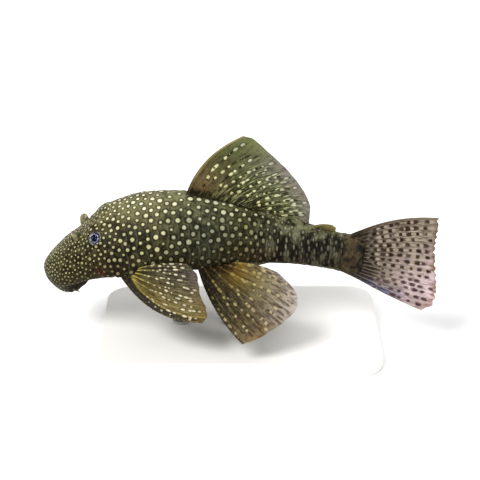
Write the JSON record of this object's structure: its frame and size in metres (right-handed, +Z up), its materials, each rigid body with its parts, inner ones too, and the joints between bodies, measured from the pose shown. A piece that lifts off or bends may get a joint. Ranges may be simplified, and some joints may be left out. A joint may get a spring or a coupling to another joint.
{
  "type": "bristlenose pleco model on a stand",
  "caption": "Still, life-size bristlenose pleco with armour plates, spread fins and a sucker mouth, swimming over a flat display base on slim rods.",
  "frame": {"origin": "middle of the stand's underside, on the floor", "axes": "+X from the fish's head towards its tail, +Z up, the fish's left side faces -Y"},
  "size_m": [0.1337, 0.0582, 0.0747],
  "materials": {
    "skin": "olive armoured skin with round cream spots, slightly wet",
    "lips": "soft brown skin",
    "fins": "olive to pinkish grey membrane with rows of cream dashes and dark spots",
    "eyes": "wet, with a silvery blue ring",
    "stand_base": "satin off-white",
    "stand_rods": "satin"
  },
  "bodies": {
    "root": {"head": "skin", "mouth": "lips", "torso": "skin", "tail": "skin", "dorsal_fin": "fins", "adipose_fin": "fins", "caudal_fin": "fins", "anal_fin": "fins", "pectoral_fin_left": "fins", "pectoral_fin_right": "fins", "pelvic_fin_left": "fins", "pelvic_fin_right": "fins", "eye_left": "eyes", "eye_right": "eyes", "stand_base": "stand_base", "stand_rod_front": "stand_rods", "stand_rod_back": "stand_rods"}
  },
  "joints": []
}
